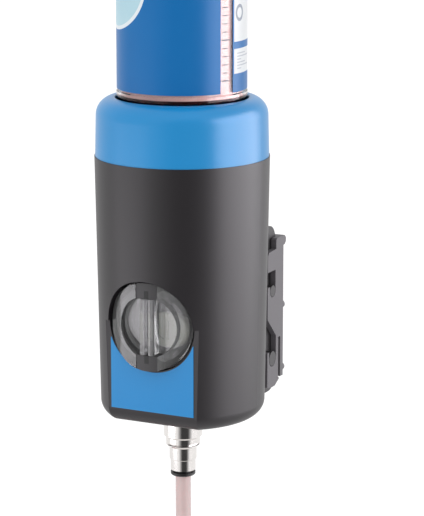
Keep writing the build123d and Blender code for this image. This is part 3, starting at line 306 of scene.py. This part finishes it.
def metal_group():
    """Turned or plated metal: fine rings round an upright axis, with a drifting gloss."""
    group, source, sink = new_group(
        "turned_metal",
        [
            ("Colour", COLOUR, (0.6, 0.6, 0.6, 1)),
            ("Roughness", FLOAT, 0.2),
            ("Tool marks", FLOAT, 0.1),
        ],
    )
    place = object_place(group)
    stretch = group.nodes.new("ShaderNodeMapping")
    stretch.inputs["Scale"].default_value = TURNING_SCALE
    group.links.new(place, stretch.inputs["Vector"])
    rings = noise_of(group, stretch.outputs[0], 1.0, detail=3.0)
    cloud = noise_of(group, place, CLOUD_SCALE, detail=3.0)
    marks = maths(group, "MULTIPLY", swing(group, rings), source.outputs["Tool marks"])
    rough = maths(group, "ADD", source.outputs["Roughness"], marks)
    rough = maths(group, "ADD", rough, maths(group, "MULTIPLY", cloud, CLOUD_GLOSS))
    group.links.new(rough, sink.inputs["Roughness"])
    haze = maths(group, "MULTIPLY", cloud, CLOUD_DULL)
    dull = mix_colour(group, haze, source.outputs["Colour"], DULL_METAL)
    group.links.new(dull, sink.inputs["Colour"])
    group.links.new(rings, sink.inputs["Height"])
    return group


moulded_plastic = moulded_group()
turned_metal = metal_group()


# ---- materials -----------------------------------------------------------------------------
def new_material(name):
    """Material with its tree and its Principled shader."""
    material = bpy.data.materials.new(name)
    material.use_nodes = True
    tree = material.node_tree
    return material, tree, tree.nodes["Principled BSDF"]


def use_group(tree, group, **values):
    """Places a node group and sets its inputs by name."""
    node = tree.nodes.new("ShaderNodeGroup")
    node.node_tree = group
    for label, value in values.items():
        feed(tree, value, node.inputs[label.replace("_", " ")])
    return node.outputs


def bump_into(tree, shader, height, depth, strength):
    """Feeds a height into the shader's normal."""
    bump = tree.nodes.new("ShaderNodeBump")
    bump.inputs["Distance"].default_value = depth
    bump.inputs["Strength"].default_value = strength
    tree.links.new(height, bump.inputs["Height"])
    tree.links.new(bump.outputs["Normal"], shader.inputs["Normal"])


def plastic(name, colour, roughness, grain=4000.0, grain_depth=0.02 * MM, shine=0.5):
    """Moulded plastic of one colour. Grain is in lumps a metre."""
    material, tree, shader = new_material(name)
    finish = use_group(
        tree,
        moulded_plastic,
        Colour=(*colour, 1),
        Drift=0.08,
        Grain_scale=grain,
        Roughness=roughness,
    )
    shader.inputs["Specular IOR Level"].default_value = shine
    tree.links.new(finish["Colour"], shader.inputs["Base Color"])
    tree.links.new(finish["Roughness"], shader.inputs["Roughness"])
    bump_into(tree, shader, finish["Height"], grain_depth, strength=0.35)
    return material


def metal(name, colour, roughness, marks=0.1):
    """Turned or plated metal."""
    material, tree, shader = new_material(name)
    finish = use_group(
        tree,
        turned_metal,
        Colour=(*colour, 1),
        Roughness=roughness,
        Tool_marks=marks,
    )
    shader.inputs["Metallic"].default_value = 1.0
    tree.links.new(finish["Colour"], shader.inputs["Base Color"])
    tree.links.new(finish["Roughness"], shader.inputs["Roughness"])
    bump_into(tree, shader, finish["Height"], depth=0.004 * MM, strength=0.3)
    return material


def clear(name, colour_in, roughness, ior, passed=1.0):
    """Clear moulded plastic with faint flow lines. colour_in(tree) makes its varied colour."""
    material, tree, shader = new_material(name)
    tree.links.new(colour_in(tree), shader.inputs["Base Color"])
    shader.inputs["Transmission Weight"].default_value = passed
    shader.inputs["IOR"].default_value = ior
    flow = noise_of(tree, object_place(tree), 120.0, detail=3.0)
    rough = maths(tree, "MULTIPLY_ADD", flow, 0.03, roughness)
    tree.links.new(rough, shader.inputs["Roughness"])
    bump_into(tree, shader, flow, depth=0.02 * MM, strength=0.2)
    return material


def grease_finish():
    """Soft pink grease with faint folds."""
    material, tree, shader = new_material("pink_grease")
    folds = noise_of(tree, object_place(tree), 90.0, detail=4.0)
    tint = mix_colour(tree, folds, (0.86, 0.60, 0.57, 1), (0.80, 0.50, 0.47, 1))
    tree.links.new(tint, shader.inputs["Base Color"])
    shader.inputs["Roughness"].default_value = 0.35
    shader.inputs["Specular IOR Level"].default_value = 0.2
    shader.inputs["Subsurface Weight"].default_value = 0.25
    shader.inputs["Subsurface Radius"].default_value = (0.004, 0.002, 0.002)
    bump_into(tree, shader, folds, depth=0.3 * MM, strength=0.4)
    return material


def tube_finish():
    """Clear tube full of pink grease: a pale skin over a soft pink core."""
    material, tree, shader = new_material("filled_tube")
    streaks = noise_of(tree, object_place(tree), 260.0, detail=3.0)
    tint = mix_colour(tree, streaks, (0.74, 0.56, 0.55, 1), (0.67, 0.50, 0.49, 1))
    tree.links.new(tint, shader.inputs["Base Color"])
    shader.inputs["Roughness"].default_value = 0.3
    shader.inputs["Coat Weight"].default_value = 0.6
    shader.inputs["Coat Roughness"].default_value = 0.08
    shader.inputs["Subsurface Weight"].default_value = 0.3
    shader.inputs["Subsurface Radius"].default_value = (0.003, 0.0015, 0.0015)
    bump_into(tree, shader, streaks, depth=0.02 * MM, strength=0.2)
    return material


housing_dark = plastic("housing_dark", (0.016, 0.013, 0.016), 0.42, grain_depth=0.03 * MM)
ring_blue = plastic("ring_blue", (0.006, 0.265, 0.62), 0.3)
bracket_grey = plastic("bracket_grey", (0.115, 0.108, 0.118), 0.6)
dark_plastic = plastic("dark_plastic", (0.018, 0.016, 0.018), 0.45)
black_plastic = plastic("black_plastic", (0.008, 0.007, 0.008), 0.4)
cream_plastic = plastic("cream_plastic", (0.55, 0.57, 0.45), 0.45)
natural_plastic = plastic("natural_plastic", (0.72, 0.71, 0.66), 0.4)
rubber = plastic("black_rubber", (0.012, 0.012, 0.012), 0.65, grain=2500.0)
board_green = plastic("board_green", (0.012, 0.12, 0.05), 0.35)
cell_sleeve = plastic("cell_sleeve", (0.03, 0.03, 0.035), 0.25)
label_film = plastic(
    "label_film", (0.008, 0.245, 0.60), 0.3, grain=1500.0, grain_depth=0.005 * MM, shine=0.35
)
nickel = metal("nickel_plate", (0.86, 0.83, 0.81), 0.1, marks=0.05)
steel = metal("bright_steel", (0.55, 0.55, 0.56), 0.28)
brass = metal("turned_brass", (0.72, 0.5, 0.22), 0.25)
zinc = metal("die_cast_zinc", (0.42, 0.43, 0.45), 0.45, marks=0.02)
grease = grease_finish()
filled_tube = tube_finish()


# ---- cover and its ring --------------------------------------------------------------------
COVER_CLEAR = (0.80, 0.80, 0.81, 1)
# Painted shade inside the coin slot, seen through the clear cover.
PAINTED_SLOT_SHADE = (0.12, 0.12, 0.125, 1)
COVER_SLOT_HALF = 1.1 * MM
COVER_SKIN = 0.5 * MM  # at the cover's face, clear over the slot too
# Painted shade, near black, in the notches of the ring's two lugs.
PAINTED_LUG_SHADE = (0.003, 0.003, 0.003, 1)
LUG_SLOT_HALF = 1.25 * MM
LUG_SLOT_REACH = 18.5 * MM  # up and down from the window's middle


def cover_colour(tree):
    """Faintly milky, with a painted shade line down the coin slot."""
    at = axes_of(tree, object_place(tree))
    slot = maths(tree, "LESS_THAN", maths(tree, "ABSOLUTE", at["X"]), COVER_SLOT_HALF)
    behind_face = maths(tree, "GREATER_THAN", at["Y"], cover_low.y + COVER_SKIN)
    # Painted shade: the slot behind the cover's face is darkened.
    dark = maths(tree, "MULTIPLY", slot, behind_face)
    return mix_colour(tree, dark, COVER_CLEAR, PAINTED_SLOT_SHADE)


def ring_finish():
    """Dark ring behind the cover, with painted shade where the coin slot runs on into its two
    lugs.
    """
    material = plastic("cover_ring_dark", (0.035, 0.033, 0.036), 0.45)
    tree = material.node_tree
    at = axes_of(tree, object_place(tree))
    slot = maths(tree, "LESS_THAN", maths(tree, "ABSOLUTE", at["X"]), LUG_SLOT_HALF)
    away = maths(tree, "ABSOLUTE", maths(tree, "SUBTRACT", at["Z"], window_z))
    in_lugs = maths(tree, "LESS_THAN", away, LUG_SLOT_REACH)
    base_colour = tree.nodes["Principled BSDF"].inputs["Base Color"]
    plain = base_colour.links[0].from_socket
    # Painted shade: near black down the slot in the two lugs.
    slot_shaded = mix_colour(tree, maths(tree, "MULTIPLY", slot, in_lugs), plain, PAINTED_LUG_SHADE)
    tree.links.new(slot_shaded, base_colour)
    return material


clear_cover = clear("clear_cover", cover_colour, 0.08, ior=1.58, passed=0.92)
cover_ring_dark = ring_finish()


# ---- grease in the can ---------------------------------------------------------------------
funnel_top = joint_z + 20.75 * MM
stub_top = joint_z + 15.75 * MM
stub_r = 6.85 * MM
TURNED_SIDES = 72
COLUMN_LAYERS = 56
FOLD_DEPTH = 0.09 * MM
FOLD_PITCH = 9 * MM  # of height for one radian of turn
FOLD_WAVES = ((3, 1.0, 1.0), (7, -1.7, 0.6), (11, 2.9, 0.4))  # lobes, turn rate, size


def fold_depth(angle, height):
    """How far the grease draws in from the can's wall."""
    turn = height / FOLD_PITCH
    swirl = sum(size * sin(lobes * angle + rate * turn) for lobes, rate, size in FOLD_WAVES)
    return FOLD_DEPTH * (2 + swirl)


def smooth_wall(angle, height):
    """No fold."""
    return 0.0


def lathed(name, rows, drawn_in):
    """Closed turned form: rows of (radius, height), its wall moved in by drawn_in."""
    bm = bmesh.new()
    rings = []
    for radius, height in rows:
        ring = []
        for side in range(TURNED_SIDES):
            angle = 2 * pi * side / TURNED_SIDES
            reach = radius - drawn_in(angle, height)
            place = (reach * sin(angle), axis_y - reach * cos(angle), height)
            ring.append(bm.verts.new(place))
        rings.append(ring)
    for lower, upper in zip(rings, rings[1:]):
        for side in range(TURNED_SIDES):
            following = (side + 1) % TURNED_SIDES
            bm.faces.new((lower[side], lower[following], upper[following], upper[side]))
    bm.faces.new(reversed(rings[0]))
    bm.faces.new(rings[-1])
    return mesh_from(name, bm)


def grease_pieces():
    """Soft grease: a packed column under the follower, and the plug in the funnel below it."""
    low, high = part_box("grease_charge")
    full_r = (high.x - low.x) / 2
    rise = high.z - funnel_top
    column_rows = [
        (full_r, funnel_top + rise * layer / COLUMN_LAYERS) for layer in range(COLUMN_LAYERS + 1)
    ]
    plug_rows = [(stub_r, low.z), (stub_r, stub_top), (full_r, funnel_top)]
    column = lathed("grease_column", column_rows, fold_depth)
    plug = lathed("grease_plug", plug_rows, smooth_wall)
    for piece in (column, plug):
        piece.data.materials.append(grease)
        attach(piece, "cartridge")
    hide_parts("grease_charge")
    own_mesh(column)


grease_pieces()


# ---- can label and graduations -------------------------------------------------------------
# Angles are in degrees round the can from the front, and heights in mm above the joint.
CAN_RADIUS = 32.2 * MM
CAN_CLEAR = (0.96, 0.93, 0.93, 1)
# Painted shadow on the can's neck below the bead, and its top in mm above the joint: it stands
# in for the shade where the can drops into the ring.
PAINTED_NECK_SHADOW = (0.10, 0.05, 0.06, 1)
NECK_SHADOW_TOP = 31.3
SCALE_INK = (0.22, 0.34, 0.38, 1)
SCALE_STEP = 4 * MM
SCALE_HEIGHTS = (38, 158)
FILM_BLUES = ((0.0, 0.145, 0.43, 1), (0.0, 0.155, 0.45, 1))
DROP_BLUES = ((0.36, 0.62, 0.74, 1), (0.62, 0.80, 0.86, 1))
DROP_EDGE = (0.80, 0.86, 0.90, 1)
DROP_EDGE_INSIDE = 0.955  # of the drop's size
DROP = {"angle": -50, "rise": 104, "half_width": 24.5, "half_height": 40, "lean": 0.30}
PANEL_WHITE = (0.82, 0.84, 0.86, 1)
PANEL_ANGLES = (78.5, 150)
UPPER_PANEL = (59, 115)
LOWER_PANEL = (43.3, 55.5)
PRINT_GREY = (0.20, 0.24, 0.33, 1)
SMALL_RING = {"angle": 87, "rise": 73, "half_width": 3.6, "half_height": 4.2}
WIDE_RING = {"angle": 92, "rise": 90, "half_width": 7.5, "half_height": 8.0}
BARS_FROM = 83


def box_mask(tree, value, low, high):
    """1 where a value lies between two limits."""
    above = maths(tree, "GREATER_THAN", value, low)
    below = maths(tree, "LESS_THAN", value, high)
    return maths(tree, "MULTIPLY", above, below)


def patch(tree, round_can, height, from_angle, to_angle, low, high):
    """1 on a rectangle of the can's wall."""
    return maths(
        tree,
        "MULTIPLY",
        box_mask(tree, round_can, radians(from_angle), radians(to_angle)),
        box_mask(tree, height, joint_z + low * MM, joint_z + high * MM),
    )


def can_places(tree, place):
    """Where a place lies on the can: its angle round it and its height."""
    at = axes_of(tree, place)
    ahead = maths(tree, "MULTIPLY_ADD", at["Y"], -1.0, axis_y)
    return maths(tree, "ARCTAN2", at["X"], ahead), at["Z"]


def oval_distance(tree, round_can, height, angle, rise, half_width, half_height, lean=0.0):
    """Distance from an oval's middle, 1 at its edge. Lean narrows its top, as in a drop."""
    up = maths(tree, "SUBTRACT", height, joint_z + rise * MM)
    up = maths(tree, "DIVIDE", up, half_height * MM)
    across = maths(tree, "SUBTRACT", round_can, radians(angle))
    across = maths(tree, "DIVIDE", across, half_width * MM / CAN_RADIUS)
    if lean:
        across = maths(tree, "MULTIPLY", across, maths(tree, "MULTIPLY_ADD", up, lean, 1.0))
    up_squared = maths(tree, "MULTIPLY", up, up)
    across_squared = maths(tree, "MULTIPLY", across, across)
    return maths(tree, "SQRT", maths(tree, "ADD", up_squared, across_squared))


def bars(tree, round_can, height, rows, low, pitch, thickness, end, longer, order):
    """Masks of plain bars, one above the other, with ends from a repeating order."""
    masks = []
    for row in range(rows):
        bottom = low + row * pitch
        to_angle = end + longer * ((row * order[0]) % order[1])
        top = bottom + thickness
        masks.append(patch(tree, round_can, height, BARS_FROM, to_angle, bottom, top))
    return masks


def panel_marks(tree, round_can, height):
    """Plain marks on the panels: a small ring, the end of a wide one, and rows of bars."""
    can = (tree, round_can, height)
    small_ring = box_mask(tree, oval_distance(*can, **SMALL_RING), 0.62, 1.0)
    wide_ring = box_mask(tree, oval_distance(*can, **WIDE_RING), 0.9, 1.0)
    lower_bars = bars(
        *can, rows=6, low=45.4, pitch=1.5, thickness=0.6, end=90, longer=9, order=(5, 3)
    )
    upper_bars = bars(
        *can, rows=9, low=101, pitch=1.4, thickness=0.55, end=104, longer=11, order=(7, 4)
    )
    marks = [(small_ring, 0.8), (wide_ring, 0.6)]
    marks += [(bar, 0.45) for bar in lower_bars]
    marks += [(bar, 0.5) for bar in upper_bars]
    inked = 0.0
    for mask, strength in marks:
        inked = maths(tree, "MULTIPLY_ADD", mask, strength, inked)
    return inked


def can_label_finish():
    """Blue printed film: a pale oil drop with a white edge, and two white panels."""
    material, tree, shader = new_material("can_print")
    place = object_place(tree)
    round_can, height = can_places(tree, place)
    colour = mix_colour(tree, noise_of(tree, place, 60.0), *FILM_BLUES)
    drop = oval_distance(tree, round_can, height, **DROP)
    colour = mix_colour(tree, box_mask(tree, drop, 0.0, 1.0), colour, DROP_EDGE)
    pale = mix_colour(tree, noise_of(tree, place, 45.0, detail=3.0), *DROP_BLUES)
    colour = mix_colour(tree, box_mask(tree, drop, 0.0, DROP_EDGE_INSIDE), colour, pale)
    upper = patch(tree, round_can, height, *PANEL_ANGLES, *UPPER_PANEL)
    lower = patch(tree, round_can, height, *PANEL_ANGLES, *LOWER_PANEL)
    panels = maths(tree, "ADD", upper, lower, clamp=True)
    colour = mix_colour(tree, panels, colour, PANEL_WHITE)
    marks = panel_marks(tree, round_can, height)
    printed = maths(tree, "MULTIPLY", marks, panels, clamp=True)
    colour = mix_colour(tree, printed, colour, PRINT_GREY)
    tree.links.new(colour, shader.inputs["Base Color"])
    gloss = maths(tree, "MULTIPLY_ADD", noise_of(tree, place, 300.0), 0.08, 0.3)
    tree.links.new(gloss, shader.inputs["Roughness"])
    shader.inputs["Specular IOR Level"].default_value = 0.25
    bump_into(tree, shader, noise_of(tree, place, 900.0), depth=0.004 * MM, strength=0.2)
    return material


def can_colour(tree):
    """Clear, with plain printed graduations down the strip, and a painted shadow on the neck
    below the bead, where the can drops into the ring.
    """
    round_can, height = can_places(tree, object_place(tree))
    above_joint = maths(tree, "SUBTRACT", height, joint_z)

    def graduations(step, thickness, from_angle, to_angle):
        line = box_mask(tree, maths(tree, "MODULO", above_joint, step), 0.0, thickness)
        strip = patch(tree, round_can, height, from_angle, to_angle, *SCALE_HEIGHTS)
        return maths(tree, "MULTIPLY", line, strip)

    short = graduations(SCALE_STEP, 0.5 * MM, 66, 71.5)
    long = graduations(5 * SCALE_STEP, 0.7 * MM, 64.5, 73)
    tint = mix_colour(tree, maths(tree, "MAXIMUM", short, long), CAN_CLEAR, SCALE_INK)
    # Painted shadow: the neck below the bead is darkened where the can drops into the ring.
    shadow_below_bead = maths(tree, "LESS_THAN", height, joint_z + NECK_SHADOW_TOP * MM)
    return mix_colour(tree, shadow_below_bead, tint, PAINTED_NECK_SHADOW)


clear_can = clear("clear_can", can_colour, 0.05, ior=1.35)
can_print = can_label_finish()

finishes = {
    "wall_bracket": bracket_grey,
    "housing_shell": housing_dark,
    "top_ring": ring_blue,
    "front_label": label_film,
    # The hook plate is given the dark plastic so that the bracket's slots look dark: painted
    # shade inside the bracket.
    "hook_plate": dark_plastic,
    "hook_screws": steel,
    "pump_deck": dark_plastic,
    "deck_screws": steel,
    "socket_seal": rubber,
    "window_cover": clear_cover,
    "cover_ring": cover_ring_dark,
    "cover_seal": rubber,
    "selector_dial": cream_plastic,
    "rotary_switch": black_plastic,
    "circuit_board": board_green,
    "board_screws": steel,
    "battery_holder": black_plastic,
    "battery_cells": cell_sleeve,
    "battery_cap": black_plastic,
    "gear_plate": steel,
    "gear_motor": steel,
    "motor_pinion": brass,
    "drive_gear": natural_plastic,
    "eccentric_shaft": steel,
    "pump_block": zinc,
    "plunger": steel,
    "check_ball": steel,
    "check_spring": steel,
    "outlet_adapter": nickel,
    "push_in_body": nickel,
    "tube_seal": rubber,
    "grab_ring": steel,
    "release_ring": black_plastic,
    "cartridge_shell": clear_can,
    "cartridge_label": can_print,
    "cartridge_cap": natural_plastic,
    "follower_piston": natural_plastic,
    "feed_tube": filled_tube,
    "feed_coil": filled_tube,
    "feed_tail": filled_tube,
    "coil_ties": black_plastic,
    "end_fitting": nickel,
}
for name, finish in finishes.items():
    nodes[name].data.materials.clear()
    nodes[name].data.materials.append(finish)
hose.data.materials.append(filled_tube)


# ---- studio --------------------------------------------------------------------------------
LAMP_AIM = Vector((0, axis_y, 0.08))
LAMP_DISTANCE = 1.0
LAMP_TINT = (0.98, 0.95, 1.0)
DARK_SIDE = radians(38)  # from the front towards the right
DARK_LEVEL = 0.05
DIMS_FROM, DARK_FROM = 0.66, 0.90  # cosines of the angle from the dark side's middle
FLOOR_HALF = 6.0
FLOOR_DROP = 0.02  # below the object's lowest point
FLOOR_GLOW = 0.2


def softbox(name, azimuth, elevation, width, height, level):
    """Rectangular lamp that shows in gloss only and lights nothing else.

    Azimuth 0 is the front, positive to the right. Level is the brightness of its face.
    """
    turn, rise = radians(azimuth), radians(elevation)
    away = Vector((sin(turn) * cos(rise), -cos(turn) * cos(rise), sin(rise)))
    data = bpy.data.lights.new(name, "AREA")
    data.shape = "RECTANGLE"
    data.size = width
    data.size_y = height
    data.energy = level * pi * width * height
    data.color = LAMP_TINT
    lamp = add_object(name, data)
    lamp.location = LAMP_AIM + away * LAMP_DISTANCE
    lamp.rotation_euler = away.to_track_quat("Z", "Y").to_euler()
    lamp.visible_camera = False
    lamp.visible_diffuse = False


def ray_kinds(tree):
    """1 for rays from the camera, direct or through clear pieces, and 1 for glossy rays."""
    path = tree.nodes.new("ShaderNodeLightPath").outputs
    seen = maths(tree, "MAXIMUM", path["Is Camera Ray"], path["Is Transmission Ray"])
    return seen, path["Is Glossy Ray"]


def make_world():
    """White to the camera and glass, an even fill for matt surfaces, and for gloss a white
    room with one dark side, ahead and to the right.
    """
    world = bpy.data.worlds.new("studio")
    bpy.context.scene.world = world
    world.use_nodes = True
    tree = world.node_tree
    background = tree.nodes["Background"]
    background.inputs["Color"].default_value = WHITE
    toward_dark = tree.nodes.new("ShaderNodeVectorMath")
    toward_dark.operation = "DOT_PRODUCT"
    toward_dark.inputs[1].default_value = (sin(DARK_SIDE), -cos(DARK_SIDE), 0)
    direction = tree.nodes.new("ShaderNodeTexCoord").outputs["Generated"]
    tree.links.new(direction, toward_dark.inputs[0])
    room = tree.nodes.new("ShaderNodeMapRange")
    room.inputs["From Min"].default_value = DIMS_FROM
    room.inputs["From Max"].default_value = DARK_FROM
    room.inputs["To Min"].default_value = 1.0
    room.inputs["To Max"].default_value = DARK_LEVEL
    tree.links.new(toward_dark.outputs["Value"], room.inputs["Value"])
    seen, mirrored = ray_kinds(tree)
    shown = maths(tree, "MAXIMUM", seen, maths(tree, "MULTIPLY", mirrored, room.outputs[0]))
    fill = maths(tree, "SUBTRACT", 1.0, maths(tree, "MAXIMUM", seen, mirrored))
    tree.links.new(maths(tree, "ADD", fill, shown), background.inputs["Strength"])


def make_floor():
    """Plain pale floor below the hanging tube, kept out of the gloss."""
    mesh = bpy.data.meshes.new("floor")
    z = cad_box[0][2] - FLOOR_DROP
    sides = ((-1, -1), (1, -1), (1, 1), (-1, 1))
    corners = [(FLOOR_HALF * x, FLOOR_HALF * y, z) for x, y in sides]
    mesh.from_pydata(corners, [], [(0, 1, 2, 3)])
    floor = add_object("floor", mesh)
    material, tree, shader = new_material("floor")
    shader.inputs["Base Color"].default_value = (0.9, 0.9, 0.9, 1)
    shader.inputs["Roughness"].default_value = 0.9
    shader.inputs["Emission Color"].default_value = WHITE
    seen = ray_kinds(tree)[0]
    glow = maths(tree, "MULTIPLY", seen, FLOOR_GLOW)
    tree.links.new(glow, shader.inputs["Emission Strength"])
    mesh.materials.append(material)
    floor.visible_glossy = False


make_world()
make_floor()
softbox("right_box", azimuth=108, elevation=8, width=1.5, height=1.0, level=5.0)
softbox("left_strip", azimuth=-46, elevation=-16.5, width=0.9, height=0.26, level=2.6)

bpy.context.scene.view_settings.view_transform = "Standard"
